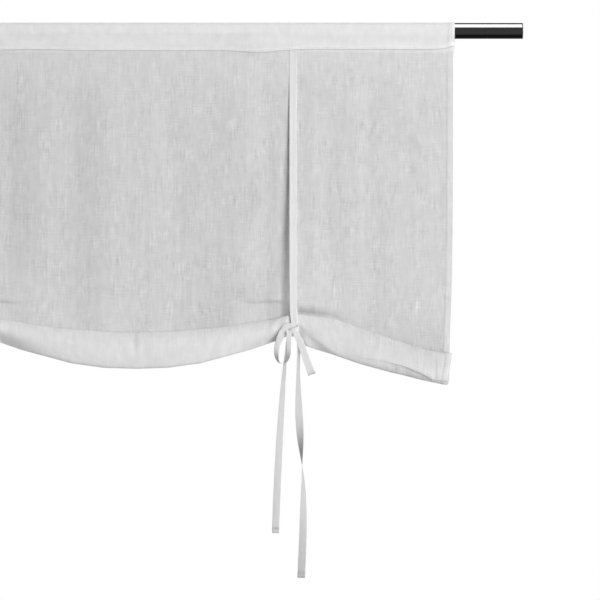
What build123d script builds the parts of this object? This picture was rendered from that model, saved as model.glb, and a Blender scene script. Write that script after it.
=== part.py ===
"""Rod pocket curtain: a linen sheet hung on a tube rod and rolled up on two pairs of tie tapes.

Millimetres. The origin is on the rod's axis at mid width, +X to the viewer's right, -Y to the room, +Z up.
"""
import math
import os

from build123d import *

# rod: a chromed steel tube with a push-in plug at each end
rod_length = 1220.0
rod_diameter = 25.0
rod_wall = 0.9
plug_flange = 1.6
plug_depth = 14.0
plug_wall = 1.8
plug_edge = 0.6

# linen sheet: cloth, rod pocket, and the hems turned at its edges
sheet_width = 1000.0
cloth = 0.5
pocket_ease = 0.3
pocket_drop = 26.0
seam_lip = 4.0
seam_thick = 1.8
side_hem = 9.0
side_hem_thick = 1.1

# rolled-up bottom: the hung height down to its lowest edge at the sides, how far its bottom edge
# rises at mid width and at a tie, and its own height and depth
hung_drop = 557.0
mid_rise = 24.0
tie_rise = 77.0
roll_height_mid = 59.0
roll_height_tie = 31.0
roll_height_end = 52.0
roll_depth = 18.5
roll_depth_tie = 16.0
roll_half_turns = 4
roll_pitch = 2.4
turn_shrink_share = 0.09
half_turn_facets = 9

# tie tapes: one in front of the sheet and one behind it at each tie
tie_x = 250.0
tie_grip = 9.0
tape_width = 12.0
tape_thick = 0.5
tape_gap = 0.1
tape_tuck = 4.2
knot_rise = 10.0
bend_step = 24
turn_step = 30

# places of the sheet's sections, as shares of the way from mid width to a tie and from a tie to the side hem
inner_shares = (0.0, 0.25, 0.47, 0.67, 0.84, 1.0)
outer_shares = (0.0, 0.15, 0.31, 0.48, 0.65, 0.82, 1.0)

rod_radius = rod_diameter / 2
half_width = sheet_width / 2
half_cloth = cloth / 2
hem_x = half_width - side_hem

# pocket: an arc over the rod and two straight falls that meet at the stitch line
pocket_radius = rod_radius + pocket_ease
pocket_slope = math.asin(pocket_radius / pocket_drop)
lip_z = -(pocket_drop + seam_lip)
lip_y = half_cloth - seam_thick


knot_z = tie_rise + knot_rise - hung_drop
tape_lie = half_cloth + tape_gap + tape_thick / 2

# A tape's route has rows of x from the tie, y, z; bend radius; width kept where the tape is gathered, as a
# share; and the direction that its width lies in. The first rows count z from the pocket's lip, the rest
# from the knot.
front_top = (
    ((0.0, -tape_lie, 4.0), 0.0, 1.0, (1.0, 0.0, 0.0)),
    ((0.0, -tape_lie, -3.0), 120.0, 1.0, (1.0, 0.0, 0.0)),
)
front_bow = (
    ((-0.4, -16.9, 23.0), 60.0, 1.0, (1.0, 0.0, 0.0)),
    ((0.4, -19.9, 11.0), 8.0, 0.55, (1.0, 0.0, 0.0)),
    ((1.2, -20.2, -7.0), 8.0, 0.45, (1.0, 0.0, 0.1)),
    ((5.0, -21.0, -16.0), 8.0, 0.8, (0.92, 0.0, 0.38)),
    ((26.9, -22.9, -71.2), 0.9, 1.0, (0.93, 0.0, 0.37)),
    ((26.6, -20.9, -70.6), 0.9, 1.0, (0.93, 0.0, 0.37)),
    ((5.2, -18.9, -14.4), 0.45, 0.75, (0.92, 0.0, 0.3)),
    ((4.6, -17.8, -14.2), 0.45, 0.75, (0.95, 0.0, 0.2)),
    ((7.4, -17.6, -42.0), 60.0, 0.9, (0.9, 0.45, 0.0)),
    ((7.0, -17.6, -112.0), 300.0, 1.0, (0.75, 0.65, 0.0)),
    ((8.6, -17.6, -162.0), 300.0, 1.0, (0.9, 0.4, 0.0)),
    ((11.9, -17.6, -212.0), 300.0, 1.0, (0.15, 1.0, 0.0)),
    ((14.3, -17.6, -258.0), 300.0, 1.0, (-0.6, 0.8, 0.0)),
    ((13.2, -17.6, -336.0), 300.0, 1.0, (-1.0, 0.1, 0.0)),
    ((10.4, -17.6, -391.4), 0.0, 1.0, (-1.0, 0.0, 0.0)),
)
back_top = (((0.0, tape_lie, 3.0), 0.0, 1.0, (1.0, 0.0, 0.0)),)
back_bow = (
    ((0.0, tape_lie, 170.0), 400.0, 1.0, (1.0, 0.0, 0.0)),
    ((-2.0, 0.7, -11.3), 6.0, 1.0, (1.0, 0.0, 0.0)),
    ((-4.0, -17.7, -11.3), 4.5, 0.7, (1.0, 0.0, 0.0)),
    ((-5.2, -17.9, -4.0), 1.6, 0.42, (1.0, 0.0, 0.1)),
    ((-5.2, -22.9, -2.6), 2.2, 0.42, (0.3, 0.0, 1.0)),
    ((5.2, -22.9, 0.4), 2.2, 0.42, (0.0, 0.0, 1.0)),
    ((5.2, -17.9, 3.8), 2.2, 0.42, (0.0, 0.0, 1.0)),
    ((-6.0, -17.9, 7.0), 4.0, 0.42, (0.2, 0.0, 1.0)),
    ((-13.0, -21.2, 6.0), 6.0, 0.6, (0.7, 0.2, 0.75)),
    ((-22.4, -23.0, -11.0), 20.0, 0.95, (0.75, 0.65, -0.3)),
    ((-29.6, -23.5, -35.0), 14.0, 1.0, (0.55, 0.85, 0.0)),
    ((-25.0, -23.8, -54.5), 8.0, 1.0, (0.1, 1.0, 0.0)),
    ((-11.5, -23.8, -54.5), 8.0, 1.0, (-0.1, 1.0, 0.0)),
    ((-7.8, -23.5, -30.0), 20.0, 1.0, (-0.6, 0.8, 0.0)),
    ((-9.0, -21.6, -9.4), 0.6, 0.7, (-0.9, 0.35, 0.0)),
    ((-10.4, -20.0, -9.6), 0.6, 0.7, (-0.95, 0.25, 0.0)),
    ((-13.6, -18.8, -42.0), 60.0, 0.9, (-0.9, 0.4, 0.0)),
    ((-19.1, -18.4, -112.0), 300.0, 1.0, (-0.8, 0.6, 0.0)),
    ((-28.0, -18.4, -270.0), 300.0, 1.0, (-1.0, 0.1, 0.0)),
    ((-29.6, -18.4, -321.0), 0.0, 1.0, (-1.0, 0.2, 0.0)),
)


def smooth_step(share):
    """Ease from 0 to 1 with level ends."""
    return share * share * (3 - 2 * share)


def roll_size(x):
    """Centre height, half height and half depth of the roll at one place along the width."""
    off = abs(x) - tie_x
    if off < 0:
        bow = min(1.0, abs(x) / (tie_x - tie_grip)) ** 2
        bottom = hung_drop - mid_rise - (tie_rise - mid_rise) * bow
        height = roll_height_mid + (roll_height_tie - roll_height_mid) * bow
    else:
        share = max(0.0, off - tie_grip) / (half_width - tie_x - tie_grip)
        fall = 1 - (1 - share) ** 2
        bottom = hung_drop - tie_rise * (1 - fall)
        top = hung_drop - tie_rise - roll_height_tie
        top += (tie_rise + roll_height_tie - roll_height_end) * smooth_step(share)
        height = bottom - top
    near = max(0.0, 1 - max(0.0, abs(off) - tie_grip) / (tie_x / 2))
    depth = roll_depth + (roll_depth_tie - roll_depth) * smooth_step(near)
    return height / 2 - bottom, height / 2, depth / 2


def roll_line(x, thick, side):
    """One face of the rolled cloth at x: half ellipses that alternate below and above the roll's centre."""
    centre_z, half_height, half_depth = roll_size(x)
    places = []
    for i in range(roll_half_turns):
        back_y = -roll_pitch * ((i + 1) // 2)
        front_y = roll_pitch * (i // 2) - 2 * half_depth
        high = half_height * (1 - turn_shrink_share * i) - side * thick / 2
        deep = (back_y - front_y) / 2 - side * thick / 2
        for j in range(half_turn_facets):
            angle = math.pi * (i + j / half_turn_facets)
            y = (back_y + front_y) / 2 + deep * math.cos(angle)
            places.append(Vector(x, y, centre_z - high * math.sin(angle)))
    turned = 1 - 2 * (roll_half_turns % 2)
    end_y = (back_y + front_y) / 2 + turned * deep
    return [*places, Vector(x, end_y, centre_z)]


def sheet_section(x, thick):
    """The sheet's closed section at x, from the pocket's lip down the fall and round the roll and back."""
    top_front = Vector(x, -thick / 2, lip_z)
    top_back = Vector(x, thick / 2, lip_z)
    inner = roll_line(x, thick, 1)
    outer = roll_line(x, thick, -1)
    return Wire.make_polygon([top_back, top_front, *inner, *reversed(outer)])


def sheet_stations():
    """Places along the width where a section is drawn."""
    inner = tie_x - tie_grip
    outer = tie_x + tie_grip
    half = [share * inner for share in inner_shares]
    half += [outer + share * (hem_x - outer) for share in outer_shares]
    return [-x for x in reversed(half[1:])] + half


def teardrop(radius, foot):
    """Closed line round the rod: an arc of the given radius and two falls to the given foot points."""
    turn_y = radius * math.cos(pocket_slope)
    turn_z = -radius * math.sin(pocket_slope)
    back_turn = Vector(0, turn_y, turn_z)
    front_turn = Vector(0, -turn_y, turn_z)
    over = Edge.make_three_point_arc(back_turn, Vector(0, 0, radius), front_turn)
    outline = Polyline(front_turn, *foot, back_turn)
    return Face(Wire([over, *outline.edges()]))


def make_pocket():
    """Pocket and its seam: cloth over the rod, closed by a turned edge, with a slot for each front tape."""
    outer = pocket_radius + cloth
    slant = cloth / math.cos(pocket_slope)
    shoulder_z = -pocket_drop - (lip_y + slant) / math.tan(pocket_slope)
    heel_z = -pocket_drop + (half_cloth - slant) / math.tan(pocket_slope)
    foot = (
        Vector(0, lip_y, shoulder_z),
        Vector(0, lip_y, lip_z),
        Vector(0, half_cloth, lip_z),
        Vector(0, half_cloth, heel_z),
    )
    ring = teardrop(outer, foot) - teardrop(pocket_radius, (Vector(0, 0, -pocket_drop),))
    pocket = extrude(ring, half_width, dir=(1, 0, 0), both=True)
    slot_depth = tape_thick + 2 * tape_gap
    slot = Box(tape_width + 2 * tape_gap, slot_depth, 2 * tape_tuck)
    for x in (-tie_x, tie_x):
        pocket -= Pos(x, -half_cloth - slot_depth / 2, lip_z) * slot
    return pocket.solid()


def make_sheet():
    """Linen sheet as one piece: pocket, fall and roll, with a thicker hem turned at each side."""
    sheet = Solid.make_loft([sheet_section(x, cloth) for x in sheet_stations()], ruled=True)
    for side in (-1, 1):
        edge = [sheet_section(side * x, side_hem_thick) for x in (hem_x, half_width)]
        sheet = sheet.fuse(Solid.make_loft(edge, ruled=True), glue=True)
    return sheet.fuse(make_pocket(), glue=True)


def make_rod():
    """Chromed tube between its two end plugs."""
    tube = Cylinder(rod_radius, rod_length - 2 * plug_flange)
    tube -= Cylinder(rod_radius - rod_wall, rod_length)
    return Rot(0, 90, 0) * tube


def make_plug(side):
    """Push-in plug: a flange as wide as the tube and a hollow spigot in the tube's bore."""
    down = (Align.CENTER, Align.CENTER, Align.MAX)
    bore = rod_radius - rod_wall
    flange = Cylinder(rod_radius, plug_flange, align=down)
    flange = chamfer(flange.edges().group_by(Axis.Z)[-1], plug_edge)
    spigot = Cylinder(bore, plug_depth, align=down) - Cylinder(bore - plug_wall, plug_depth, align=down)
    plug = flange + Pos(0, 0, -plug_flange) * spigot
    return Pos(side * rod_length / 2, 0, 0) * Rot(0, side * 90, 0) * plug


def route_value(route, where, column):
    """Value of one column of a route at a place on it: the corner before it and the share of the way on."""
    first = int(where)
    share = where - first
    a = Vector(route[first][column]) if column == 3 else route[first][column]
    last = min(first + 1, len(route) - 1)
    b = Vector(route[last][column]) if column == 3 else route[last][column]
    return a * (1 - share) + b * share


def place_on(corners, point):
    """Place of a point on the line through the corners, as a corner's number and a share of the way on."""
    best = None
    for i in range(len(corners) - 1):
        leg = corners[i + 1] - corners[i]
        share = min(1.0, max(0.0, (point - corners[i]).dot(leg) / leg.dot(leg)))
        miss = (corners[i] + leg * share - point).length
        if best is None or miss < best[0]:
            best = (miss, i + share)
    return best[1]


def skin(rings):
    """Solid through a row of four-cornered rings; opposite sides are split on the same diagonal."""
    walls = [Face(Wire.make_polygon(ring)) for ring in (rings[0], rings[-1])]
    for near, far in zip(rings, rings[1:]):
        for i in range(-1, 3):
            a, b, c, d = near[i], near[i + 1], far[i + 1], far[i]
            halves = ((a, b, c), (a, c, d)) if i in (0, 1) else ((a, b, d), (b, c, d))
            walls += [Face(Wire.make_polygon(half)) for half in halves]
    return Solid(Shell(walls)).fix()


def make_tape(top, bow, x, name):
    """Flat tape along a route of straight runs and tangent arcs, gathered and turned as the route says."""
    route = top + bow
    heights = [lip_z] * len(top) + [knot_z] * len(bow)
    corners = [Vector(*row[0]) + Vector(x, 0, height) for row, height in zip(route, heights)]
    radii = [row[1] for row in route[1:-1]]
    path = FilletPolyline(*corners, radius=radii)
    stops = []
    for edge in path.edges():
        bend = (edge % 0).get_angle(edge % 1)
        ends = [route_value(route, place_on(corners, edge @ share), 3) for share in (0, 1)]
        count = max(1, math.ceil(bend / bend_step), math.ceil(ends[0].get_angle(ends[1]) / turn_step))
        start = 0 if not stops else 1
        stops += [(edge @ (i / count), edge % (i / count)) for i in range(start, count + 1)]
    rings = []
    for point, along in stops:
        where = place_on(corners, point)
        keep = route_value(route, where, 2)
        across = route_value(route, where, 3)
        across = (across - along * across.dot(along)).normalized()
        side = across * (tape_width * keep / 2)
        face = along.cross(across) * (tape_thick / keep / 2)
        rings.append([point - side - face, point + side - face, point + side + face, point - side + face])
    tape = skin(rings)
    ideal = tape_width * tape_thick * path.length
    print(f"{name}: length {path.length:.1f}, bends {radii}, volume share {tape.volume / ideal:.3f}")
    return tape


if __name__ == "__main__":
    os.makedirs("parts", exist_ok=True)
    export_step(make_sheet(), "parts/linen_sheet.step")
    export_step(make_rod(), "parts/rod_tube.step")
    for side, name in ((-1, "left"), (1, "right")):
        export_step(make_plug(side), f"parts/rod_plug_{name}.step")
        for top, bow, layer in ((front_top, front_bow, "front"), (back_top, back_bow, "back")):
            node = f"{layer}_tape_{name}"
            export_step(make_tape(top, bow, side * tie_x, node), f"parts/{node}.step")
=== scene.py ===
"""Rod pocket curtain: a sheer linen panel hung on a chrome rod, rolled up and tied in bows."""

import math

import bpy
import numpy as np
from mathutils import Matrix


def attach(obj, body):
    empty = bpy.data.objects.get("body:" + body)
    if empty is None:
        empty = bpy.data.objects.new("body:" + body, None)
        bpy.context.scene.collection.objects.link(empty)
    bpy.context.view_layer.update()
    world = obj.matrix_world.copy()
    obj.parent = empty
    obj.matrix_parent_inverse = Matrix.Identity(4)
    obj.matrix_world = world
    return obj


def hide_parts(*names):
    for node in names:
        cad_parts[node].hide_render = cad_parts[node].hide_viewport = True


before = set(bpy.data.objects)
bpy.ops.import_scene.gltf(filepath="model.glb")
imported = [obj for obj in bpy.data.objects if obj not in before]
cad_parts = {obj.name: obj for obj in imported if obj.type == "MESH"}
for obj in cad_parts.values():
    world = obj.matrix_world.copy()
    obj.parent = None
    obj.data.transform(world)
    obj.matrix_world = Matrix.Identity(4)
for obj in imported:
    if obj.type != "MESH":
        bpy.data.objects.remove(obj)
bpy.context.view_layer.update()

bl_info = {
    "name": "Rod pocket curtain",
    "version": (1, 0, 0),
    "blender": (4, 5, 0),
    "location": "View3D > Sidebar > Curtain",
    "description": "Makes a linen tie-up curtain with its tapes, stitching, rod and studio",
    "category": "Add Mesh",
}

MM = 0.001

# Sizes of the cloth in millimetres: each tie from the middle, the pocket's seam below the rod, the pitch
# of the roll's turns, the gap kept in front of the hanging cloth, and the room inside a turned side hem.
TIE = 250.0
POCKET_DROP = 26.0
TURN_PITCH = 2.4
TUCK_GAP = 0.4
HEM_ROOM = 0.55

# Shares: how much less high each half turn of the roll is than the one outside it, and how far along the
# front of the first half turn the flap's edge lies.
TURN_SHARE = 0.09
FLAP_SHARE = 0.45

# The number of columns across the sheet, and how many more lie in each turned hem.
COLUMNS = 450
HEM_COLUMNS = 3

# Places of the stitches in millimetres: the pocket's seam from its lip, and a side seam from the hem's
# edge.
LIP_SEAM = (0.0, -0.27, 2.2)
SIDE_SEAM = 1.1

# The middle of the picture, in millimetres from the middle of the rod.
VIEW_CENTRE = (258.6, 0.0, -424.3)

# Lines read along half of the curtain, in millimetres from its middle: the roll's upper and lower edge
# below the rod, and the edge of the flap that opens near each end.
ROLL_TOP = (
    (0, 472.6), (45, 471.2), (101, 467.4), (132, 465.0), (180, 457.8), (219, 451.8), (241, 446.4),
    (256, 445.2), (268, 446.0), (306, 449.4), (353, 464.6), (400, 482.2), (432, 491.8), (464, 501.4),
    (491, 505.5), (510, 506.0),
)
ROLL_BOTTOM = (
    (0, 532.8), (50, 531.2), (101, 524.2), (180, 503.0), (219, 489.6), (241, 480.4), (258, 480.6),
    (266, 496.0), (285, 502.8), (306, 508.8), (353, 525.2), (400, 538.0), (448, 549.2), (491, 557.0),
    (510, 557.5),
)
FLAP_EDGE = (
    (290, 503.0), (306, 504.6), (358, 515.9), (390, 520.2), (418, 527.3), (443, 536.2), (464, 544.6),
    (476, 551.4), (490, 551.0), (510, 550.8),
)

# Soft upright folds of the hanging cloth: place, half width and height towards the back, in millimetres.
FOLDS = (
    (-470, 34, 2.6), (-405, 30, -2.2), (-330, 42, 3.0), (-285, 22, -1.6), (-205, 30, 2.2), (-150, 34, -1.2),
    (-100, 40, 1.6), (-52, 34, -2.4), (62, 30, 2.4), (108, 26, 1.0), (166, 24, -1.2), (205, 18, 1.2),
    (276, 20, -0.6), (306, 20, 0.6), (340, 18, -0.5), (366, 18, 0.8), (408, 22, -0.4), (448, 24, -0.8),
)

# The pocket's lip, in millimetres: waves with place, half width and height, and rises towards each end
# with start, length and height.
LIP_WAVES = ((330, 90, 1.5), (194, 34, -2.7), (60, 60, -1.0), (-150, 70, 0.8))
LIP_RISES = ((474, 14, 1.6), (487, 10, 3.4), (498, 2, 2.4))

# Painted shade on the hanging cloth, in millimetres: place across, half width, depth below the rod where
# each begins and the length over which it grows; last its strength.
HANG_PAINTED_SHADES = ((124, 26, 412, 24, 0.17), (217, 14, 350, 60, 0.22), (12, 9, 440, 14, 0.12))

# The tapes' routes in millimetres: (x from the tie, y, z from the rod's axis), the share of the width
# that is spread, the direction of the width, and the tone from thin to layered cloth; the lower tones at
# the knot and along the tails are painted shade.
FRONT_ROUTE = (
    ((-2.4, -0.22, -26.0), 0.96, (1, 0, 0), 0.84),
    ((-2.4, -0.22, -60.0), 0.96, (1, 0, 0), 0.84),
    ((-2.4, -1.4, -98.0), 0.96, (1, 0, 0), 0.84),
    ((-2.3, -17.8, -434.6), 0.96, (1, 0, 0), 0.84),
    ((-1.5, -17.4, -447.0), 0.94, (1, 0, 0), 0.84),
    ((-0.4, -18.9, -459.0), 0.9, (1, 0, 0), 0.84),
    ((1.6, -19.9, -477.0), 0.75, (1, 0, 0.1), 0.84),
    ((8.0, -21.0, -487.0), 0.9, (0.92, 0, 0.38), 0.84),
    ((26.9, -22.9, -541.2), 1.0, (0.93, 0, 0.37), 0.84),
    ((27.2, -20.9, -540.6), 1.0, (0.93, 0, 0.37), 0.74),
    ((8.4, -18.9, -485.4), 0.7, (0.92, 0, 0.3), 0.9),
    ((7.4, -17.8, -485.2), 0.7, (0.8, 0.5, 0.2), 1.0),
    ((5.8, -17.6, -512.0), 0.75, (0.3, 0.95, 0), 0.34),
    ((5.9, -17.6, -582.0), 1.0, (0.77, 0.64, 0), 0.19),
    ((8.6, -17.6, -632.0), 1.0, (0.94, -0.34, 0), 0.46),
    ((11.9, -17.6, -682.0), 1.0, (0.05, -1, 0), 0.6),
    ((14.3, -17.6, -728.0), 1.0, (-0.67, -0.74, 0), 0.26),
    ((13.2, -17.6, -806.0), 1.0, (-0.99, -0.14, 0), 0.12),
    ((10.4, -17.6, -861.4), 1.0, (-1, 0, 0), 0.12),
)
BACK_ROUTE = (
    ((0.0, 0.6, -27.0), 1.0, (1, 0, 0), 0.84),
    ((0.0, 0.6, -300.0), 1.0, (1, 0, 0), 0.84),
    ((-1.8, 0.7, -462.8), 1.0, (1, 0, 0), 0.84),
    ((-2.0, 0.7, -481.3), 1.0, (1, 0, 0), 0.84),
    ((-4.0, -17.7, -481.3), 0.8, (1, 0, 0), 0.84),
    ((-8.0, -18.0, -475.5), 0.75, (1, 0, 0.1), 0.84),
    ((-8.0, -22.6, -473.4), 0.6, (0.3, 0, 1), 0.84),
    ((5.2, -22.9, -470.2), 0.55, (0, 0, 1), 0.84),
    ((5.2, -17.9, -465.6), 0.5, (0, 0, 1), 0.84),
    ((-6.0, -19.2, -464.6), 0.7, (0, 0, 1), 0.74),
    ((-13.0, -18.8, -466.4), 0.9, (-0.6, 0, 0.8), 0.9),
    ((-22.0, -18.9, -480.5), 1.0, (-0.95, 0.15, 0.25), 1.0),
    ((-29.8, -20.2, -505.0), 0.66, (-0.85, 0.35, 0), 1.0),
    ((-25.0, -23.8, -524.5), 1.0, (-0.1, 1, 0), 0.84),
    ((-11.5, -23.8, -524.5), 1.0, (-0.1, 1, 0), 0.84),
    ((-8.2, -23.5, -500.0), 0.56, (-0.97, 0.15, 0), 0.84),
    ((-8.8, -23.0, -472.4), 0.66, (-0.97, 0.1, 0), 0.84),
    ((-10.0, -20.6, -472.6), 0.75, (-0.35, -0.93, 0), 0.7),
    ((-13.0, -18.8, -500.0), 0.85, (-0.26, -0.96, 0), 0.1),
    ((-20.1, -18.4, -582.0), 0.95, (-0.78, -0.62, 0), 0.33),
    ((-28.6, -18.4, -740.0), 0.93, (-1, -0.1, 0), 0.33),
    ((-29.8, -18.4, -791.0), 0.93, (-1, -0.1, 0), 0.33),
)

# Each tape's route, the row after which its loop folds, the painted shade of that fold and the real length
# in metres.
TAPES = {
    "front": (FRONT_ROUTE, 8, 0.3, 0.9606),
    "back": (BACK_ROUTE, 13, 0.0, 0.9473),
}

# Length of the turned end of a tape, in metres.
END_HEM = 0.0085


class CURTAIN_PG_settings(bpy.types.PropertyGroup):
    """Sizes of the cloth, tapes and stitches."""

    width: bpy.props.FloatProperty(
        name="Panel width", description="Finished width of the panel", default=1.0, min=0.2, unit="LENGTH"
    )
    tie_place: bpy.props.FloatProperty(
        name="Tie place",
        description="Distance of each pair of tapes from the middle",
        default=TIE * MM,
        min=0.05,
        unit="LENGTH",
    )
    rod_radius: bpy.props.FloatProperty(
        name="Pocket radius", description="Radius of the cloth over the rod", default=0.01305, unit="LENGTH"
    )
    hem: bpy.props.FloatProperty(
        name="Side hem", description="Width of the turned side hem", default=0.009, min=0.002, unit="LENGTH"
    )
    roll_depth: bpy.props.FloatProperty(
        name="Roll depth", description="Depth of the roll away from the ties", default=0.0185, unit="LENGTH"
    )
    tie_depth: bpy.props.FloatProperty(
        name="Roll depth at a tie",
        description="Depth of the roll under the tapes",
        default=0.016,
        unit="LENGTH",
    )
    fold_height: bpy.props.FloatProperty(
        name="Fold strength",
        description="Share of the folds' drawn height",
        default=1.0,
        min=0.0,
        subtype="FACTOR",
    )
    tape_width: bpy.props.FloatProperty(
        name="Tape width", description="Width of a tie tape", default=0.012, min=0.002, unit="LENGTH"
    )
    tape_thick: bpy.props.FloatProperty(
        name="Tape thickness",
        description="Thickness of a tie tape",
        default=0.0005,
        min=0.0001,
        unit="LENGTH",
    )
    stitch_pitch: bpy.props.FloatProperty(
        name="Stitch pitch",
        description="Distance from stitch to stitch",
        default=0.0034,
        min=0.001,
        unit="LENGTH",
    )


class CURTAIN_PG_stage(bpy.types.PropertyGroup):
    """Camera, light and floor."""

    view_width: bpy.props.FloatProperty(
        name="View width",
        description="Width of the picture at the cloth",
        default=0.9462,
        min=0.1,
        unit="LENGTH",
    )
    camera_away: bpy.props.FloatProperty(
        name="Camera distance",
        description="Distance from camera to cloth",
        default=7.0,
        min=1.0,
        unit="LENGTH",
    )
    key_power: bpy.props.FloatProperty(
        name="Key power", description="Power of the main lamp", default=457.0, min=0.0, unit="POWER"
    )
    rod_power: bpy.props.FloatProperty(
        name="Rod lamp power",
        description="Power of the lamp seen in the rod",
        default=26.0,
        min=0.0,
        unit="POWER",
    )
    ambient: bpy.props.FloatProperty(
        name="Ambient", description="Brightness of the room round the cloth", default=0.095, min=0.0
    )
    floor_drop: bpy.props.FloatProperty(
        name="Floor", description="Depth of the floor below the rod", default=1.6, min=0.9, unit="LENGTH"
    )


def ease(t):
    """Smooth step: three t squared less two t cubed, with t held between 0 and 1."""
    t = np.clip(t, 0.0, 1.0)
    return t * t * (3.0 - 2.0 * t)


def hump(x, place, half):
    """Bell curve: e to the minus square of the distance from place counted in half widths."""
    return np.exp(-(((x - place) / half) ** 2))


def soft_line(points, x, reach):
    """Height of a drawn line at x: straight between its points, averaged over reach each way."""
    across, height = np.array(points, float).T
    near = np.linspace(-reach, reach, 9)
    return np.interp(np.abs(x)[..., None] + near, across, height).mean(-1)


def add_grid(name, points, material, closed=False, caps=False, uv=None, values=None):
    """Mesh of quads over a rows by columns array of points.

    Closed joins the last column to the first, and caps fills the first and the last row.
    """
    rows, columns = points.shape[:2]
    index = np.arange(rows * columns).reshape(rows, columns)
    if closed:
        index = np.concatenate([index, index[:, :1]], 1)
    quads = np.stack([index[:-1, :-1], index[:-1, 1:], index[1:, 1:], index[1:, :-1]], -1).reshape(-1, 4)
    faces = quads.tolist()
    if caps:
        faces += [index[0, :columns][::-1].tolist(), index[-1, :columns].tolist()]
    mesh = bpy.data.meshes.new(name)
    mesh.from_pydata(points.reshape(-1, 3).tolist(), [], faces)
    corners = np.zeros(len(mesh.loops), np.int32)
    mesh.loops.foreach_get("vertex_index", corners)
    if uv is not None:
        mesh.uv_layers.new(name="cloth").data.foreach_set("uv", uv.reshape(-1, 2)[corners].ravel())
    for label, value in (values or {}).items():
        layer = mesh.attributes.new(label, "FLOAT", "POINT")
        layer.data.foreach_set("value", np.broadcast_to(value, (rows, columns)).ravel())
    mesh.polygons.foreach_set("use_smooth", np.ones(len(mesh.polygons), bool))
    mesh.materials.append(material)
    mesh.update()
    obj = bpy.data.objects.new(name, mesh)
    bpy.context.scene.collection.objects.link(obj)
    return obj


def shader(name, roughness, metallic=0.0, specular=0.5, colour=None):
    """New material with one principled shader; returns it with its tree and shader node."""
    material = bpy.data.materials.new(name)
    material.use_nodes = True
    tree = material.node_tree
    node = tree.nodes["Principled BSDF"]
    node.inputs["Roughness"].default_value = roughness
    node.inputs["Metallic"].default_value = metallic
    node.inputs["Specular IOR Level"].default_value = specular
    if colour is not None:
        node.inputs["Base Color"].default_value = (*colour, 1.0)
    return material, tree, node


def math_node(tree, operation, first, second=None, third=None):
    """Math node on sockets or numbers; returns its output."""
    node = tree.nodes.new("ShaderNodeMath")
    node.operation = operation
    for slot, value in zip(node.inputs, (first, second, third)):
        if isinstance(value, (int, float)):
            slot.default_value = value
        elif value is not None:
            tree.links.new(value, slot)
    return node.outputs[0]


def noise_at(tree, vector, scale, detail, roughness=0.55):
    """Noise of a vector stretched by scale along each axis; returns the noise value from 0 to 1."""
    stretch = tree.nodes.new("ShaderNodeVectorMath")
    stretch.operation = "MULTIPLY"
    stretch.inputs[1].default_value = scale
    tree.links.new(vector, stretch.inputs[0])
    node = tree.nodes.new("ShaderNodeTexNoise")
    node.inputs["Scale"].default_value = 1.0
    node.inputs["Detail"].default_value = detail
    node.inputs["Roughness"].default_value = roughness
    tree.links.new(stretch.outputs[0], node.inputs["Vector"])
    return node.outputs["Fac"]


def weave_group():
    """Node group of a plain linen weave on flat cloth coordinates in metres.

    Tone is one plus streaks plus a cloud. Streaks are uneven threads along each direction, stronger in
    places, plus long and broad ones; height is the product of two sine waves at the thread pitch plus the
    streaks.
    """
    name = "linen_weave"
    if name in bpy.data.node_groups:
        return bpy.data.node_groups[name]
    group = bpy.data.node_groups.new(name, "ShaderNodeTree")
    group.interface.new_socket("Vector", in_out="INPUT", socket_type="NodeSocketVector")
    for label, default in (("Threads", 1250.0), ("Streaks", 0.1), ("Cloud", 0.05)):
        socket = group.interface.new_socket(label, in_out="INPUT", socket_type="NodeSocketFloat")
        socket.default_value = default
    for label in ("Tone", "Height"):
        group.interface.new_socket(label, in_out="OUTPUT", socket_type="NodeSocketFloat")
    enter = group.nodes.new("NodeGroupInput")
    leave = group.nodes.new("NodeGroupOutput")
    vector = enter.outputs["Vector"]
    warp = noise_at(group, vector, (330.0, 42.0, 1.0), 3.0)
    weft = noise_at(group, vector, (52.0, 420.0, 1.0), 3.0)
    uneven = noise_at(group, vector, (46.0, 28.0, 1.0), 2.0)
    long_thread = noise_at(group, vector, (125.0, 8.0, 1.0), 2.0)
    broad = noise_at(group, vector, (40.0, 15.0, 1.0), 2.0)
    patch = noise_at(group, vector, (90.0, 48.0, 1.0), 3.0)
    warp = math_node(group, "MULTIPLY_ADD", warp, 1.04, -0.52)
    streak = math_node(group, "MULTIPLY_ADD", weft, 0.64, -0.32)
    streak = math_node(group, "ADD", streak, warp)
    uneven = math_node(group, "MULTIPLY_ADD", uneven, 5.6, -1.8)
    uneven = math_node(group, "MAXIMUM", uneven, 0.15)
    streak = math_node(group, "MULTIPLY", streak, uneven)
    for noise, strength in ((long_thread, 0.5), (broad, 0.4)):
        centred = math_node(group, "MULTIPLY_ADD", noise, strength, -strength / 2)
        streak = math_node(group, "ADD", streak, centred)
    streak_tone = math_node(group, "MULTIPLY", streak, enter.outputs["Streaks"])
    patch_tone = math_node(group, "SUBTRACT", patch, 0.5)
    patch_tone = math_node(group, "MULTIPLY", patch_tone, enter.outputs["Cloud"])
    tone = math_node(group, "ADD", streak_tone, patch_tone)
    tone = math_node(group, "ADD", tone, 1.0)
    group.links.new(tone, leave.inputs["Tone"])
    split = group.nodes.new("ShaderNodeSeparateXYZ")
    group.links.new(vector, split.inputs[0])
    turn = math_node(group, "MULTIPLY", enter.outputs["Threads"], math.pi)
    across = math_node(group, "SINE", math_node(group, "MULTIPLY", split.outputs[0], turn))
    along = math_node(group, "SINE", math_node(group, "MULTIPLY", split.outputs[1], turn))
    cells = math_node(group, "MULTIPLY", across, along)
    height = math_node(group, "MULTIPLY_ADD", cells, 0.12, streak)
    group.links.new(height, leave.inputs["Height"])
    return group


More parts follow.
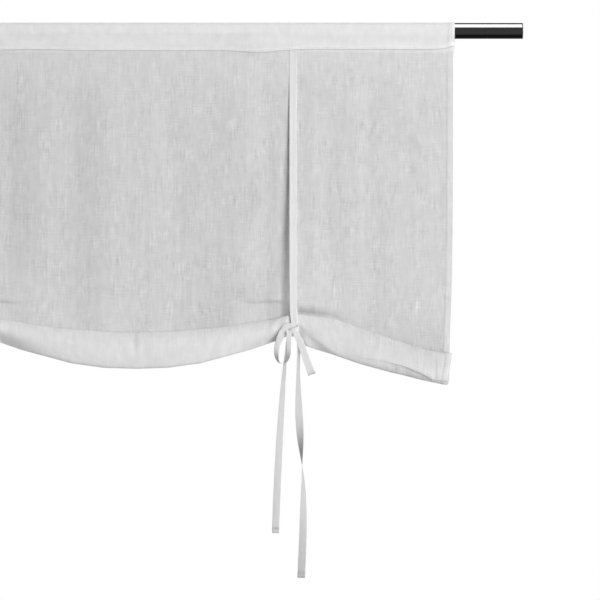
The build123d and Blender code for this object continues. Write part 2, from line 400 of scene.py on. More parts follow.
def cloth_material(name, single, layered, streaks, cloud, bump, through=0.0):
    """Linen: grey of one layer mixed towards the grey of several by the layers attribute, times the weave.

    Besides the cloth's layering, that attribute holds painted light and shade. The streaks' strength falls
    as a power of one less the attribute, and light comes through by the share given.
    """
    material, tree, node = shader(name, 0.92, specular=0.12)
    node.inputs["Subsurface Weight"].default_value = through
    node.inputs["Subsurface Radius"].default_value = (1.0, 1.0, 1.0)
    node.inputs["Subsurface Scale"].default_value = 0.003
    node.inputs["Sheen Weight"].default_value = 0.08
    node.inputs["Sheen Roughness"].default_value = 0.6
    flat = tree.nodes.new("ShaderNodeUVMap")
    flat.uv_map = "cloth"
    weave = tree.nodes.new("ShaderNodeGroup")
    weave.node_tree = weave_group()
    weave.inputs["Cloud"].default_value = cloud
    tree.links.new(flat.outputs["UV"], weave.inputs["Vector"])
    layers_and_shading = tree.nodes.new("ShaderNodeAttribute")
    layers_and_shading.attribute_name = "layers_and_shading"
    thin = math_node(tree, "SUBTRACT", 1.0, layers_and_shading.outputs["Fac"])
    strength = math_node(tree, "MULTIPLY", math_node(tree, "POWER", thin, 1.6), streaks)
    tree.links.new(strength, weave.inputs["Streaks"])
    mix = tree.nodes.new("ShaderNodeMix")
    mix.data_type = "RGBA"
    mix.inputs["A"].default_value = (single, single, single, 1.0)
    mix.inputs["B"].default_value = (layered, layered, layered, 1.0)
    tree.links.new(layers_and_shading.outputs["Fac"], mix.inputs["Factor"])
    shade = tree.nodes.new("ShaderNodeVectorMath")
    shade.operation = "SCALE"
    tree.links.new(mix.outputs["Result"], shade.inputs[0])
    tree.links.new(weave.outputs["Tone"], shade.inputs["Scale"])
    tree.links.new(shade.outputs[0], node.inputs["Base Color"])
    raised = tree.nodes.new("ShaderNodeBump")
    raised.inputs["Strength"].default_value = bump
    raised.inputs["Distance"].default_value = 0.0004
    tree.links.new(weave.outputs["Height"], raised.inputs["Height"])
    tree.links.new(raised.outputs[0], node.inputs["Normal"])
    return material


def fall_shift(x, z, top):
    """How far the hanging cloth stands to the back at x and z, in millimetres.

    The upright folds, slanted a little, fade at the pocket and the ties. Added are a pleat between the
    ties with a sharp wavy crease under it, a sag above the roll outside each tie that ends sharply, and a
    dip beside each tape. All of it fades into the roll, and the cloth between the ties leans towards the
    roll.
    """
    side = np.abs(x) - TIE
    above = z + top
    slant, level = 0.02, 250.0
    fold = np.zeros(np.broadcast(x, z).shape)
    for place, half, height in FOLDS:
        fold = fold + height * hump(x + slant * (z + level) * np.sign(height), place, half)
    fold = fold * ease((-z - 30.0) / 110.0) * (1.0 - hump(side, 0.0, 17.0))
    crease = 431.0 + 1.7 * np.sin((x - 170.0) / 10.0) + 0.04 * side
    crisp = (1.0 - np.clip((z + crease) / 10.0, 0.0, 1.0)) ** 3
    pleat = -4.5 * (1.0 - crisp) * hump(np.maximum(z + crease - 9.0, 0.0), 0.0, 46.0)
    pleat = pleat * hump(side, -46.0, 36.0) * ease((-side - 6.0) / 14.0)
    edge = (1.0 - np.clip((above - 0.5) / 16.0, 0.0, 1.0)) ** 2
    depth = 4.6 + 1.2 * ease((24.0 - side) / 18.0)
    sag = 4.0 * edge * ease((side - 3.0) / 2.5)
    sag = sag - depth * (1.0 - edge) * hump(np.maximum(above - 16.5, 0.0), 0.0, 50.0)
    sag = sag * ease((side + 3.0) / 6.0) * (1.0 - ease((side - 18.0) / 70.0))
    dip = 3.2 * hump(side, -14.0, 7.0) * ease((-z - 240.0) / 160.0)
    lean = -4.2 * ease(1.0 - above / 80.0) * ease((-side - 8.0) / 20.0) * ease((above + 24.0) / 18.0)
    return (fold + pleat + sag + dip) * ease((above + 16.0) / 22.0) + lean


def roll_shift(x, z, top, bottom):
    """How far the roll's front stands to the back at x and z, in millimetres.

    Two upright creases near the middle; beyond each tie a slanting plane that falls away below its edge,
    and a swell further out; small gathers and a curl under before each tie; a step along the hem of each
    end.
    """
    half = np.abs(x)
    off = half - TIE
    share = np.clip((-z - top) / (bottom - top), 0.0, 1.0)
    groove = 0.9 * hump(x, -1.0, 4.6) * ease((0.75 - share) / 0.45)
    groove = groove + 1.0 * hump(x, 26.0, 10.0) * ease((share - 0.45) / 0.4)
    below = -464.2 - 0.82 * (half - 258.6) - z
    depth = 0.5 * (np.sqrt(below * below + 3.0) + below)
    beyond = ease((half - 268.0) / 24.0)
    plane = 4.4 * (1.0 - np.exp(-depth / 7.0)) * (1.0 - beyond) + 0.52 * depth * beyond
    plane = plane * ease(off / 9.0) * ease((330.0 - half) / 18.0)
    gather = 0.7 * np.sin(6.0 * share + 0.28 * off) * hump(off, -26.0, 24.0) * np.where(off < -5.0, 1.0, 0.0)
    swell = -1.3 * hump(off, 95.0, 60.0) * hump(share, 0.55, 0.3)
    curl = 7.0 * ease((share - 0.5) / 0.5) * hump(off, -58.0, 34.0)
    curl = (curl + 2.2 * ease((share - 0.3) / 0.6) * hump(off, -40.0, 9.0)) * ease(-off / 6.0)
    crease = half - (474.7 + 0.163 * (-z - 519.0))
    hem = -0.8 * ease(crease / 3.0) * ease((share - 0.12) / 0.2) * ease((0.97 - share) / 0.1)
    return groove + plane + gather + swell + curl + hem


def tuck_in(x, y, z, top, first, last, strength):
    """Roll's points with the upper half turn, rows first to last, kept in front of the hanging cloth.

    Where that half turn would pass the cloth it turns down and runs straight along it to its own end; the
    turns inside it are held twice the gap in front.
    """
    row = np.arange(len(y))[:, None]
    over = y - fall_shift(x, z, top) * strength + TUCK_GAP
    upper = (row >= first) & (row <= last)
    met = np.argmax((over > 0.0) & upper & (row > first), 0)
    meets = met > 0
    met = np.where(meets, met, last)
    column = np.arange(x.size)
    before, after = over[met - 1, column], over[met, column]
    part = np.where(meets, -before / np.maximum(after - before, 1e-6), 1.0)
    cross = met - 1 + np.clip(part, 0.0, 1.0)
    z_cross = z[met - 1, column] + (z[met, column] - z[met - 1, column]) * (cross - met + 1)
    down = np.clip((row - cross) / np.maximum(last - cross, 1e-6), 0.0, 1.0)
    tucked = upper & (row > cross) & meets
    z = np.where(tucked, z_cross + (z[last] - z_cross) * down, z)
    limit = fall_shift(x, z, top) * strength - TUCK_GAP * np.where(row > last, 2.0, 1.0)
    return np.where(row >= first, np.minimum(y, limit), y), z


def column_places(settings):
    """Places of the columns across the hung and the flat cloth, and 1 for each column in a turned hem.

    Columns stand closer where a density is higher: one plus bells at the ties, the ends, the flaps and
    the middle. One more column lies just beside each edge.
    """
    half_width = settings.width / MM / 2
    hem = settings.hem / MM
    place = np.linspace(-half_width, half_width, 4001)
    half = np.abs(place)
    dense = 1.0 + 2.4 * hump(half, TIE, 26.0) + 1.6 * hump(half, 484.0, 18.0)
    dense = dense + 0.9 * hump(place, 0.0, 30.0) + 0.5 * hump(half, 380.0, 90.0)
    length = np.concatenate([[0.0], np.cumsum(dense[1:])])
    main = np.interp(np.linspace(0.0, length[-1], COLUMNS - 2), length, place)
    beside = half_width - 0.35
    main = np.concatenate([main[:1], [-beside], main[1:-1], [beside], main[-1:]])
    fold_back = np.array([hem, hem * 0.5, 0.6])
    x = np.concatenate([-half_width + fold_back, main, half_width - fold_back[::-1]])
    flat_x = np.concatenate([-half_width - fold_back, main, half_width + fold_back[::-1]])
    turned = np.concatenate([np.ones(HEM_COLUMNS), np.zeros(COLUMNS), np.ones(HEM_COLUMNS)])
    return x[None, :], flat_x, turned


def pocket_rows(x, radius):
    """Depth and height of the pocket's rows: its sewn lip, its front, the arc over the rod and its back.

    The lip is a level line plus waves and rises. The front climbs in a slight curve, with a ripple along
    the width, to where the arc round the rod begins, and the back falls straight from the arc to the
    seam.
    """
    lip_out, seam_out, seam_high = 1.35, 1.6, 3.6
    lip = -30.2 + 0.5 * np.sin(x / 37.0) + 1.2 * ease((x - 350.0) / 30.0)
    for place, half, height in LIP_WAVES:
        lip = lip + height * hump(x, place, half)
    for start, length, height in LIP_RISES:
        lip = lip + height * ease((np.abs(x) - start) / length)
    lean = math.asin(radius / POCKET_DROP)
    arc_out, arc_low = radius * math.cos(lean), radius * math.sin(lean)
    t = np.array([0.0, 0.25, 0.6, 1.0])[:, None]
    y_lip = -lip_out - (seam_out - lip_out) * t * np.ones_like(x)
    z_lip = lip + seam_high * t
    t = np.linspace(0.0, 1.0, 8)[1:-1, None]
    y_front = -seam_out + (seam_out - arc_out) * (0.82 * t + 0.18 * t * t)
    y_front = y_front + 0.5 * np.sin(x / 23.0 + 2.0) * np.sin(math.pi * t)
    z_front = (lip + seam_high) + (-arc_low - lip - seam_high) * t
    angle = np.linspace(-lean, math.pi + lean, 18)[:, None]
    y_arc = -radius * np.cos(angle) * np.ones_like(x)
    z_arc = radius * np.sin(angle) * np.ones_like(x)
    t = np.linspace(0.0, 1.0, 6)[1:, None] * np.ones_like(x)
    y_back = arc_out * (1 - t)
    z_back = -arc_low + (arc_low - POCKET_DROP) * t
    return np.concatenate([y_lip, y_front, y_arc, y_back]), np.concatenate([z_lip, z_front, z_arc, z_back])


def hanging_rows(settings, x, top, bottom):
    """Depth and height of the hanging rows down to the roll's middle, and how many stand above the roll.

    Rows run evenly down to a knee and then closer together; the cloth is shifted by its folds, and a
    small step to the front marks each side hem.
    """
    knee = 0.86
    t = np.concatenate([np.linspace(0.0, knee, 44)[1:], np.linspace(knee, 1.0, 46)[1:]])[:, None]
    z_fall = -POCKET_DROP + (POCKET_DROP - top) * t
    z_behind = -top + (top - bottom) / 2 * np.linspace(0.0, 1.0, 8)[1:-1, None]
    z = np.concatenate([z_fall, z_behind])
    inner_edge = (settings.width / 2 - settings.hem) / MM
    step = 0.42 * ease((np.abs(x) - inner_edge + 1.2) / 1.8)
    return fall_shift(x, z, top) * settings.fold_height - step, z, len(z_fall)


def roll_depth(settings, x):
    """Depth of the roll at x in millimetres: its free depth, eased to its depth at a tie near each tie."""
    near = ease(1.0 - np.maximum(0.0, np.abs(np.abs(x) - TIE) - 9.0) / 125.0)
    return settings.roll_depth / MM * (1 - near) + settings.tie_depth / MM * near


def turn_angles(turn, edge, open_by):
    """Angles of the rows round one half turn of the roll, and how far each point lies under the open flap.

    The first half turn has a back quarter and a front quarter with close rows at the flap's edge angle,
    the second has close rows on its front, and the inner two have even rows.
    """
    if turn == 0:
        back = np.linspace(0.0, math.pi / 2, 11)[:-1, None] * np.ones_like(edge)
        low = np.concatenate([np.linspace(0.0, 0.36, 8), [0.41, 0.434, 0.446, 0.449]])
        high = np.concatenate([[0.451, 0.454, 0.464, 0.485], np.linspace(0.52, 1.0, 14)])
        t = np.concatenate([low, high])[:, None]
        lower = math.pi / 2 + (edge - math.pi / 2) * t / FLAP_SHARE
        upper = edge + (math.pi - edge) * (t - FLAP_SHARE) / (1.0 - FLAP_SHARE)
        hidden = np.concatenate([np.zeros((len(back), 1)), np.where(t < FLAP_SHARE, 1.0, 0.0)])
        return np.concatenate([back, np.where(t < FLAP_SHARE, lower, upper)]), hidden * open_by
    if turn == 1:
        part = np.concatenate([np.linspace(0.0, 0.5, 25), np.linspace(0.5, 1.0, 10)[1:]])
    else:
        part = np.linspace(0.0, 1.0, 12 if turn == 2 else 9)
    angle = turn * math.pi + math.pi * part[1:, None] * np.ones_like(edge)
    return angle, np.zeros_like(angle)


def roll_rows(settings, x, top, bottom):
    """Depth and height of the roll's rows, and how far each point lies under the open flap.

    Four half turns, each half a rounded oval and one pitch inside the one before: depth is the middle
    plus half the depth times a power of the cosine, height the centre less half the height times a power
    of the sine. The front is then shifted, the flap opened, the upper half leaned back and tucked before
    the hanging cloth.
    """
    half = np.abs(x)
    centre, high = -(top + bottom) / 2, (bottom - top) / 2
    deep = roll_depth(settings, x)
    flap = soft_line(FLAP_EDGE, x, 6.0)
    open_by = ease((half - 318.0) / 60.0)
    round_under = 2.55 - 0.95 * hump(half, 226.0, 32.0) + 1.6 * ease((half - 255.0) / 20.0)
    round_under = round_under - 0.9 * ease((half - 335.0) / 30.0)
    round_over = 2.1 + 2.2 * hump(half, 236.0, 15.0)
    rise = np.clip((flap + centre) / high, 0.25, 0.985)
    edge = math.pi - np.arcsin(rise ** (round_under / 2.0))
    turns = []
    for turn in range(4):
        angle, under = turn_angles(turn, edge, open_by)
        power = 2.0 / (round_under if turn % 2 == 0 else round_over)
        back_y = -TURN_PITCH * ((turn + 1) // 2)
        front_y = TURN_PITCH * (turn // 2) - deep
        cosine, sine = np.cos(angle), np.sin(angle)
        y = (back_y + front_y) / 2 + (back_y - front_y) / 2 * np.sign(cosine) * np.abs(cosine) ** power
        z = centre - high * (1 - TURN_SHARE * turn) * np.sign(sine) * np.abs(sine) ** power
        turns.append((y, z, under))
    first_upper = len(turns[0][0])
    last_upper = first_upper + len(turns[1][0]) - 1
    y, z, under = (np.concatenate(rows) for rows in zip(*turns))
    forward = np.clip(-y / deep, 0.0, 1.0)
    y = y + forward * roll_shift(x, z, top, bottom)
    y = y + (0.6 + 1.2 * ease((half - 390.0) / 50.0)) * under * ease(forward / 0.5)
    lifted = hump(-z, flap - 3.0, 9.0) * open_by * (1 - under)
    y = y - (0.4 + 0.4 * ease((half - 400.0) / 40.0)) * lifted * ease((forward - 0.7) / 0.3)
    lean_back = 6.6 - 6.0 * hump(half, 246.0, 20.0) - 4.6 * ease((half - 246.0) / 16.0)
    y = y + np.maximum(lean_back, 0.0) * np.clip((z - centre) / high, 0.0, 1.0) ** 2
    y, z = tuck_in(x, y, z, top, first_upper, last_upper, settings.fold_height)
    return y, z, under


def draw_in(x, y, z, share, deep, head, hang):
    """Places across with the ends drawn in or out; head and hang are the first hanging and rolled rows.

    The pocket widens a little at its ends, the hanging cloth narrows as the fourth power of its depth,
    and the roll's front narrows towards its lower edge.
    """
    half = np.abs(x)
    drawn = 5.5 * np.clip((-z - POCKET_DROP) / 470.0, 0.0, 1.0) ** 4
    drawn[:head] = -2.2
    ahead = np.zeros_like(y)
    ahead[hang:] = np.clip(-y[hang:] / deep * 2.0, 0.0, 1.0)
    drawn = drawn * (1 - ahead) + (2.1 + 7.6 * share) * ahead
    drawn[:head] = drawn[:head] * ease((half - 480.0) / 20.0)
    return x - np.sign(x) * drawn * ease((half - 420.0) / 80.0)


def pocket_tone_and_shading(x, z):
    """Tone of the pocket, from thin to layered cloth, with painted light and shade.

    Painted light over the rod and in a band in front of it, a painted shade line along the rod's front,
    painted light on a stretch beyond the right tie, painted shade near the middle, and a dark line along
    the hem of each end.
    """
    # Painted light over the rod and in a band before it, and a painted shade line along the rod's front.
    tone = 0.76 + 0.24 * ease((z - 7.0) / 4.0) + 0.2 * hump(z, -14.0, 11.0) - 0.09 * hump(z, 2.5, 4.5)
    # Painted light beyond the right tie, and painted shade near the middle.
    right = 0.15 * ease((x - 256.0) / 30.0) * ease((z + 27.0) / 5.0)
    brighter = 0.07 + right - 0.12 * hump(x, 150.0, 70.0)
    tone = tone + brighter * ease((-z - 2.0) / 5.0)
    return np.minimum(tone, 1.0) - 0.22 * hump(np.abs(x), 492.5, 1.2)


def hanging_tone_and_shading(x, z, top):
    """Hanging cloth's tone, thin to layered: even, with painted light under the pocket and painted shade."""
    half, below = np.abs(x), -z
    close = ease((below - top + 75.0) / 60.0)
    tone = 0.19 + 0.06 * close * ease((246.0 - half) / 50.0) * ease((20.0 - x) / 30.0)
    # Painted shade beside a tape and in places just above the roll.
    for place, width, start, length, strength in HANG_PAINTED_SHADES:
        tone = tone - strength * hump(x, place, width) * ease((below - start) / length)
    tone = tone - 0.2 * hump(x, 184.0, 15.0) * hump(below, 258.0, 34.0)
    tone = tone - close * (0.06 * ease((half - 320.0) / 60.0) + 0.1 * ease((half - 425.0) / 30.0))
    # Painted light under the pocket.
    return tone + 0.11 * ease(1.0 + (z + 30.0) / 110.0)


def roll_tone_and_shading(x, low, under):
    """Tone of the roll, from thin to layered cloth, with painted light and shade, at a share low of its
    height from the top.

    Darker towards the ends and along the top, with painted shade low before each tie, high beyond each tie
    and in the two creases near the middle, and painted light just inside each tie, beyond it and low
    between the ties; darkest under the open flap, where an inner layer shows partly in painted shade.
    """
    half = np.abs(x)
    inner = ease((246.0 - half) / 30.0)
    tone = 0.62 - 0.08 * ease((half - 190.0) / 30.0) - 0.09 * ease((half - 250.0) / 12.0)
    tone = tone - 0.22 * ease((half - 310.0) / 60.0) * ease((0.75 - low) / 0.6)
    # Painted shade high on the roll beyond each tie.
    tone = tone - 0.2 * ease((half - 254.0) / 8.0) * ease((0.4 - low) / 0.4)
    # Painted shade low before each tie; painted light just inside each tie and on a stretch beyond it.
    tone = tone - 0.4 * ease((low - 0.6) / 0.4) * hump(half, 196.0, 34.0)
    tone = tone + 0.32 * hump(half, 236.0, 7.0) * ease((0.42 - low) / 0.2)
    tone = tone + 0.1 * ease((half - 270.0) / 20.0) * ease((340.0 - half) / 20.0) * ease((low - 0.3) / 0.2)
    tone = tone + 0.1 * ease((half - 466.0) / 8.0)
    tone = tone - inner * (0.19 * ease((0.5 - low) / 0.4) + 0.14 * ease((0.09 - low) / 0.09))
    # Painted light low on the roll between the ties.
    tone = tone + 0.07 * inner * ease((low - 0.78) / 0.15)
    # Painted shade in the two creases near the middle.
    tone = tone - 0.22 * hump(x, -1.5, 4.5) * ease((0.62 - low) / 0.3) * ease((low - 0.03) / 0.1)
    tone = tone - 0.14 * hump(x, 21.0, 6.0) * ease((low - 0.15) / 0.25)
    # Under the open flap an inner layer shows, partly in painted shade.
    shaded = 0.05 + 0.26 * ease((half - 385.0) / 30.0) * ease((484.0 - half) / 8.0)
    return tone - shaded * under


def sheet_points(settings):
    """Points of the cloth over length by width, in millimetres, with flat coordinates, tones and seam rows.

    Along its length the cloth climbs from the pocket's lip to the rod, goes round it, falls, and rolls
    forward. The columns of the hems are set behind it along its normal. Flat length is the sum of the
    steps between rows.
    """
    x, flat_x, turned = column_places(settings)
    top = soft_line(ROLL_TOP, x, 6.0)
    bottom = soft_line(ROLL_BOTTOM, x, 3.5)
    y_pocket, z_pocket = pocket_rows(x, settings.rod_radius / MM)
    y_hang, z_hang, fall_count = hanging_rows(settings, x, top, bottom)
    y_roll, z_roll, under = roll_rows(settings, x, top, bottom)
    y = np.concatenate([y_pocket, y_hang, y_roll])
    z = np.concatenate([z_pocket, z_hang, z_roll])
    head = len(y_pocket)
    hang = head + len(y_hang)
    share = np.clip((-z - top) / (bottom - top), 0.0, 1.0)
    wide = draw_in(x, y, z, share, roll_depth(settings, x), head, hang)
    points = np.stack([wide, y, z], -1)

    along = np.gradient(points, axis=0)
    normal = np.stack([np.zeros_like(y), along[..., 2], -along[..., 1]], -1)
    normal = normal / np.maximum(np.linalg.norm(normal, axis=-1, keepdims=True), 1e-9)
    points = points - normal * (HEM_ROOM * turned)[None, :, None]

    steps = np.linalg.norm(np.diff(points, axis=0), axis=-1)
    flat_z = np.concatenate([np.zeros((1, x.size)), np.cumsum(steps, 0)])
    uv = np.stack([np.broadcast_to(flat_x, flat_z.shape), flat_z], -1) * MM
    hem_tone = 0.39 * ease((np.abs(x) - (settings.width / 2 - settings.hem) / MM) / 0.8)
    # Tones of the pocket, the hanging cloth and the roll: cloth layers plus painted light and shade.
    below = np.concatenate([hanging_tone_and_shading(x, z_hang, top), roll_tone_and_shading(x, share[hang:], under)])
    layers_and_shading = np.concatenate([pocket_tone_and_shading(x, z_pocket), np.maximum(below, hem_tone)])
    return points, uv, layers_and_shading, slice(head, head + fall_count + 1)


class CURTAIN_OT_stage(bpy.types.Operator):
    """Make the camera, the lamps, the room light and the floor"""

    bl_idname = "curtain.stage"
    bl_label = "Make stage"

    def execute(self, context):
        settings = context.scene.curtain_stage
        scene = context.scene
        scene.view_settings.view_transform = "Standard"
        scene.view_settings.look = "None"
        centre = np.array(VIEW_CENTRE) * MM
        self.add_camera(scene, settings, centre)

        def around(azimuth, elevation, away):
            """Place and turn of a lamp that looks at the centre, from angles in degrees and a distance."""
            a, e = math.radians(azimuth), math.radians(elevation)
            aim = np.array((math.sin(a) * math.cos(e), -math.cos(a) * math.cos(e), math.sin(e)))
            return centre + aim * away, (math.pi / 2 - e, 0.0, a)

        key = around(azimuth=37.0, elevation=14.0, away=6.5)
        back = around(azimuth=200.0, elevation=30.0, away=6.0)
        over = around(azimuth=0.0, elevation=70.0, away=3.0)
        top = (0.3, -0.385, 1.5), (0.0, 0.0, 0.0)
        self.add_lamp(scene, "key_lamp", key, size=(4.3, 8.0), power=settings.key_power)
        self.add_lamp(scene, "back_lamp", back, size=(2.0, 2.0), power=settings.key_power * 0.3)
        over_power = settings.key_power * 0.022
        over_lamp = self.add_lamp(scene, "over_lamp", over, size=(3.5, 2.0), power=over_power)
        over_lamp.visible_glossy = False
        top_lamp = self.add_lamp(scene, "top_lamp", top, size=(3.6, 1.56), power=settings.rod_power)
        top_lamp.visible_diffuse = False
        scene.world = self.make_room(settings)

        pale, _, _ = shader("floor_pale", 0.9, specular=0.1, colour=(0.8, 0.8, 0.8))
        across = np.linspace(-2.5, 2.5, 3)
        x, y = np.meshgrid(across, across)
        points = np.stack([x, y, np.full_like(x, -settings.floor_drop)], -1)
        floor = add_grid("floor", points, pale)
        floor.visible_glossy = False
        return {"FINISHED"}

    def add_camera(self, scene, settings, centre):
        """Camera straight in front of the centre, with the lens that gives the view's width there."""
        data = bpy.data.cameras.new("camera")
        data.sensor_width = 36.0
        data.lens = data.sensor_width * settings.camera_away / settings.view_width
        camera = bpy.data.objects.new("camera", data)
        camera.location = centre + np.array((0.0, -settings.camera_away, 0.0))
        camera.rotation_euler = (math.pi / 2, 0.0, 0.0)
        scene.collection.objects.link(camera)
        scene.camera = camera

    def add_lamp(self, scene, name, stand, size, power):
        """Area lamp that the camera doesn't see, at a stand of place and turn."""
        light = bpy.data.lights.new(name, "AREA")
        light.shape = "RECTANGLE"
        light.size, light.size_y = size
        light.energy = power
        lamp = bpy.data.objects.new(name, light)
        lamp.location, lamp.rotation_euler = stand
        lamp.visible_camera = False
        scene.collection.objects.link(lamp)
        return lamp

    def make_room(self, settings):
        """World that lights cloth from above more than below, is dark in mirrors and white to the camera."""
        world = bpy.data.worlds.new("room")
        world.use_nodes = True
        tree = world.node_tree
        tree.nodes.clear()
        cloth_light, mirror_light, backdrop = (tree.nodes.new("ShaderNodeBackground") for _ in range(3))
        for light in (cloth_light, mirror_light, backdrop):
            light.inputs["Color"].default_value = (1.0, 1.0, 1.0, 1.0)
        backdrop.inputs["Strength"].default_value = 1.0
        toward = tree.nodes.new("ShaderNodeTexCoord")
        split = tree.nodes.new("ShaderNodeSeparateXYZ")
        tree.links.new(toward.outputs["Generated"], split.inputs[0])
        above = math_node(tree, "MULTIPLY_ADD", split.outputs["Z"], 0.9 * settings.ambient, settings.ambient)
        tree.links.new(above, cloth_light.inputs["Strength"])
        dim = tree.nodes.new("ShaderNodeMapRange")
        for label, value in (("From Min", -0.95), ("From Max", -0.75), ("To Min", 0.006), ("To Max", 0.038)):
            dim.inputs[label].default_value = value
        tree.links.new(split.outputs["Z"], dim.inputs["Value"])
        tree.links.new(dim.outputs["Result"], mirror_light.inputs["Strength"])
        ray = tree.nodes.new("ShaderNodeLightPath")
        shade = cloth_light.outputs[0]
        for kind, light in (("Is Glossy Ray", mirror_light), ("Is Camera Ray", backdrop)):
            mix = tree.nodes.new("ShaderNodeMixShader")
            tree.links.new(ray.outputs[kind], mix.inputs[0])
            tree.links.new(shade, mix.inputs[1])
            tree.links.new(light.outputs[0], mix.inputs[2])
            shade = mix.outputs[0]
        leave = tree.nodes.new("ShaderNodeOutputWorld")
        tree.links.new(shade, leave.inputs["Surface"])
        return world


def spread_over(count, samples):
    """Weights of a second-degree spline that starts and ends on its control points, at even steps."""
    knots = np.concatenate([[0, 0], np.arange(count - 1), [count - 2, count - 2]]).astype(float)
    at = np.linspace(0.0, count - 2, samples)[:, None]
    at[-1] -= 1e-9
    weight = ((knots[:-1] <= at) & (at < knots[1:])).astype(float)
    for degree in (1, 2):
        first = (at - knots[: -degree - 1]) / np.maximum(knots[degree:-1] - knots[: -degree - 1], 1e-9)
        last = (knots[degree + 1 :] - at) / np.maximum(knots[degree + 1 :] - knots[1:-degree], 1e-9)
        weight = first * weight[:, :-1] + last * weight[:, 1:]
    return weight


def follow(name, points):
    """Places along the second-degree spline of drawn control points in metres."""
    data = bpy.data.curves.new(name, "CURVE")
    data.dimensions = "3D"
    spline = data.splines.new("NURBS")
    spline.points.add(len(points) - 1)
    spline.points.foreach_set("co", np.concatenate([points, np.ones((len(points), 1))], 1).ravel())
    spline.order_u = 3
    spline.use_endpoint_u = True
    spline.resolution_u = 26
    route = bpy.data.objects.new(name, data)
    bpy.context.scene.collection.objects.link(route)
    bpy.context.view_layer.update()
    mesh = bpy.data.meshes.new_from_object(route)
    places = np.zeros(len(mesh.vertices) * 3)
    mesh.vertices.foreach_get("co", places)
    bpy.data.objects.remove(route)
    bpy.data.curves.remove(data)
    bpy.data.meshes.remove(mesh)
    return places.reshape(-1, 3)


def tape_points(places, controls, settings, fold_at, shade):
    """Points of a tape over length by profile, with flat coordinates and layers with painted light and
    shade.

    A flat closed profile is set across the path: each place plus the width direction times half the
    spread width, plus the surface direction times half the thickness; where the tape is gathered it
    thickens and ripples. Tone follows the route's rows, brighter near the top as painted light, with a
    painted shade line and a wider painted shade at the loop's fold, and a line at the cut end.
    """
    weight = spread_over(len(controls), len(places))
    spread, across, tone = (weight @ np.array([row[at] for row in controls], float) for at in (1, 2, 3))
    ahead = np.gradient(places, axis=0)
    ahead /= np.maximum(np.linalg.norm(ahead, axis=1, keepdims=True), 1e-12)
    across -= ahead * (across * ahead).sum(1, keepdims=True)
    across /= np.linalg.norm(across, axis=1, keepdims=True)
    up = np.cross(across, ahead)
    run = np.concatenate([[0.0], np.cumsum(np.linalg.norm(np.diff(places, axis=0), axis=1))])
    to_end = run[-1] - run
    line = np.array((-1.0, -0.95, -0.7, -0.35, 0.0, 0.35, 0.7, 0.95, 1.0))
    side = np.concatenate([line, line[::-1]])
    rim = np.where(np.abs(line) == 1.0, 0.5, 1.0)
    face = np.concatenate([rim, -rim])
    gather = np.clip(1.0 - spread, 0.0, 1.0)[:, None]
    half = (settings.tape_width / 2 * spread)[:, None]
    hemmed = ease((END_HEM - to_end) / 0.001)[:, None]
    sewn = 1.0 - 0.6 * ease(1.0 - run / 0.1)[:, None]
    thick = settings.tape_thick / 2 * (sewn + 1.6 * gather + hemmed)
    ripple = 0.0007 * gather * np.cos(2.6 * math.pi * side) + 0.0002 * (1 - side * side) * (1 - gather)
    shape = across[:, None] * (half * side)[..., None]
    shape = shape + up[:, None] * (thick * face + ripple)[..., None]
    points = places[:, None] + shape
    grid = points.shape[:2]
    flat_across = np.broadcast_to(side * settings.tape_width / 2, grid)
    flat = np.stack([flat_across, np.broadcast_to(run[:, None], grid)], -1)
    fold = run[np.argmax(weight[:, fold_at] * weight[:, fold_at + 1])]
    # Painted light near the top of the tape, and painted shade at the loop's fold.
    layers_and_shading = tone + 0.16 * ease(1.0 - run / 0.2)
    layers_and_shading = layers_and_shading - 0.65 * hump(run, fold, 0.0011) - shade * hump(run, fold, 0.005)
    layers_and_shading = layers_and_shading - 0.37 * hump(to_end, 0.0078, 0.0006)
    return points, flat, np.broadcast_to(layers_and_shading[:, None], grid)


class CURTAIN_OT_tapes(bpy.types.Operator):
    """Make the four tie tapes, two at each tie, along their routes"""

    bl_idname = "curtain.tapes"
    bl_label = "Make tapes"

    def execute(self, context):
        settings = context.scene.curtain
        twill = cloth_material(
            "tape_twill", single=0.5, layered=0.95, streaks=0.1, cloud=0.03, bump=0.25, through=0.25
        )
        for side, tie in (("left", -settings.tie_place), ("right", settings.tie_place)):
            for label, (controls, fold_at, shade, real) in TAPES.items():
                route = np.array([c[0] for c in controls]) * MM + np.array((tie, 0.0, 0.0))
                places = follow(f"{label}_route_{side}", route)
                points, flat, layers_and_shading = tape_points(places, controls, settings, fold_at, shade)
                tape = add_grid(f"tie_{label}_{side}", points, twill, True, True, flat, {"layers_and_shading": layers_and_shading})
                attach(tape, "root")
                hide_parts(f"{label}_tape_{side}")
        return {"FINISHED"}


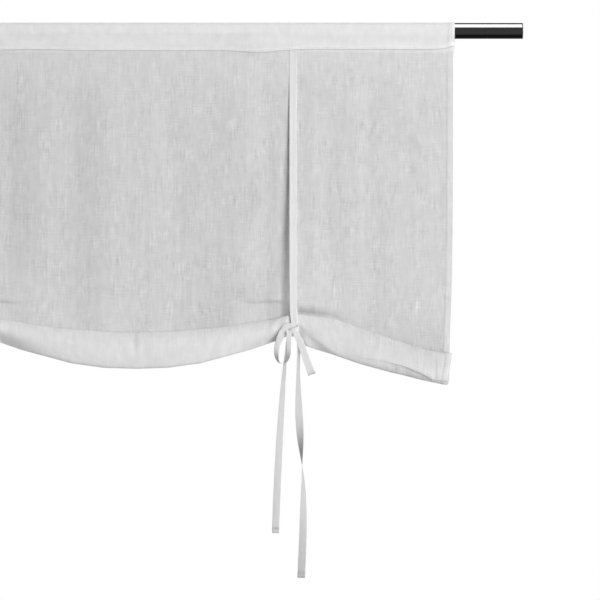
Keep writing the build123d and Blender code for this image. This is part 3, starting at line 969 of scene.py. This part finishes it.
class CURTAIN_OT_sheet(bpy.types.Operator):
    """Make the linen panel with its pocket, roll, side hems and stitches"""

    bl_idname = "curtain.sheet"
    bl_label = "Make panel"

    def execute(self, context):
        settings = context.scene.curtain
        linen = cloth_material("linen_sheer", single=0.64, layered=0.95, streaks=0.42, cloud=0.2, bump=0.35)
        points, uv, layers_and_shading, falls = sheet_points(settings)
        panel = add_grid("linen_panel", points * MM, linen, uv=uv, values={"layers_and_shading": layers_and_shading})
        thread, _, _ = shader("thread_white", 0.7, specular=0.2, colour=(0.68, 0.68, 0.675))
        middle = points[:, HEM_COLUMNS:-HEM_COLUMNS]
        inset = (settings.width / 2 - settings.hem) / MM + SIDE_SEAM
        left, right = (np.argmin(np.abs(middle[0, :, 0] - side * inset)) for side in (-1, 1))
        seams = {
            "pocket": middle[0] + np.array(LIP_SEAM),
            "left": middle[falls, left],
            "right": middle[falls, right],
        }
        pieces = [panel]
        for label, line in seams.items():
            rings = self.stitch_points(settings, line)
            pieces.append(add_grid(f"stitches_{label}", rings, thread, closed=True))
        for piece in pieces:
            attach(piece, "root")
        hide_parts("linen_sheet")
        return {"FINISHED"}

    def stitch_points(self, settings, line):
        """Points of a row of stitches along a line, in metres.

        A round thread follows the line and rises and dips through the cloth as a sine of the length along
        it.
        """
        radius, height, margin = 0.24, 0.42, 8.0
        back = np.array((0.0, 1.0, 0.0))
        run = np.concatenate([[0.0], np.cumsum(np.linalg.norm(np.diff(line, axis=0), axis=1))])
        pitch = settings.stitch_pitch / MM
        at = np.arange(margin, run[-1] - margin, pitch / 6)
        centre = np.stack([np.interp(at, run, line[:, axis]) for axis in range(3)], -1)
        centre[:, 1] += radius / 2 - height * np.sin(2 * math.pi * at / pitch)
        ahead = np.gradient(centre, axis=0)
        ahead[:, 1] = 0.0
        ahead /= np.linalg.norm(ahead, axis=1, keepdims=True)
        turn = np.linspace(0.0, 2 * math.pi, 5, endpoint=False)[:, None]
        aside = np.cross(ahead, back)[:, None]
        ring = radius * (np.cos(turn) * back + np.sin(turn) * aside)
        return (centre[:, None] + ring) * MM


class CURTAIN_OT_rod(bpy.types.Operator):
    """Give the rod and its end plugs their finishes"""

    bl_idname = "curtain.rod"
    bl_label = "Finish rod"

    def execute(self, context):
        chrome, tree, node = shader("rod_chrome", 0.06, metallic=1.0)
        place = tree.nodes.new("ShaderNodeTexCoord")
        grain = noise_at(tree, place.outputs["Object"], (30.0, 900.0, 900.0), 2.0)
        rough = math_node(tree, "MULTIPLY_ADD", grain, 0.008, 0.05)
        tree.links.new(rough, node.inputs["Roughness"])
        node.inputs["Base Color"].default_value = (0.9, 0.9, 0.91, 1.0)
        plug, _, _ = shader("plug_grey", 0.35, colour=(0.05, 0.05, 0.053))
        for name, material in (("rod_tube", chrome), ("rod_plug_left", plug), ("rod_plug_right", plug)):
            obj = bpy.data.objects.get(name)
            if obj is None:
                raise RuntimeError(f"{name} is missing")
            obj.data.materials.clear()
            obj.data.materials.append(material)
        return {"FINISHED"}


class CURTAIN_PT_panel(bpy.types.Panel):
    """Sidebar panel with the curtain's sizes and steps"""

    bl_idname = "CURTAIN_PT_panel"
    bl_label = "Rod pocket curtain"
    bl_space_type = "VIEW_3D"
    bl_region_type = "UI"
    bl_category = "Curtain"

    def draw(self, context):
        layout = self.layout
        for group in (context.scene.curtain, context.scene.curtain_stage):
            column = layout.column()
            for name in group.__annotations__:
                column.prop(group, name)
        for step in STEPS:
            layout.operator(step.bl_idname)


STEPS = (CURTAIN_OT_stage, CURTAIN_OT_tapes, CURTAIN_OT_sheet, CURTAIN_OT_rod)
CLASSES = (CURTAIN_PG_settings, CURTAIN_PG_stage, *STEPS, CURTAIN_PT_panel)


def register():
    for cls in CLASSES:
        bpy.utils.register_class(cls)
    bpy.types.Scene.curtain = bpy.props.PointerProperty(type=CURTAIN_PG_settings)
    bpy.types.Scene.curtain_stage = bpy.props.PointerProperty(type=CURTAIN_PG_stage)


def unregister():
    del bpy.types.Scene.curtain_stage
    del bpy.types.Scene.curtain
    for cls in reversed(CLASSES):
        bpy.utils.unregister_class(cls)


def main():
    register()
    bpy.ops.curtain.stage()
    bpy.ops.curtain.tapes()
    bpy.ops.curtain.sheet()
    bpy.ops.curtain.rod()
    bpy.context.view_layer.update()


if __name__ == "__main__":
    main()
